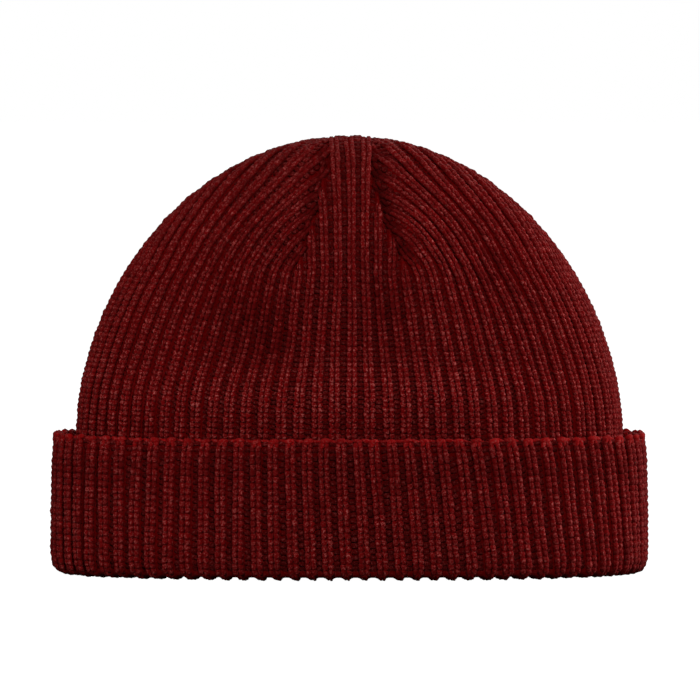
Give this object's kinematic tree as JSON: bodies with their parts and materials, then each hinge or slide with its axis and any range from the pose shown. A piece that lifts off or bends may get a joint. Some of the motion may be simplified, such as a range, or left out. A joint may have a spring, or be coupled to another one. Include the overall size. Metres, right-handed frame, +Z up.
{
  "type": "cuffed beanie",
  "caption": "Soft rib-knit winter hat with a darted domed crown and a deep turned-up cuff, standing open on its rim.",
  "frame": {"origin": "on the floor under the middle of the rim", "axes": "+Z up through the crown's top, +X along the hat's width to the wearer's left, front towards -Y"},
  "size_m": [0.222, 0.14, 0.1625],
  "materials": {
    "crown_knit": "matt dark red wool, rib knit",
    "cuff_knit": "matt dark red wool, rib knit"
  },
  "bodies": {
    "root": {"crown": "crown_knit", "cuff": "cuff_knit"}
  },
  "joints": []
}
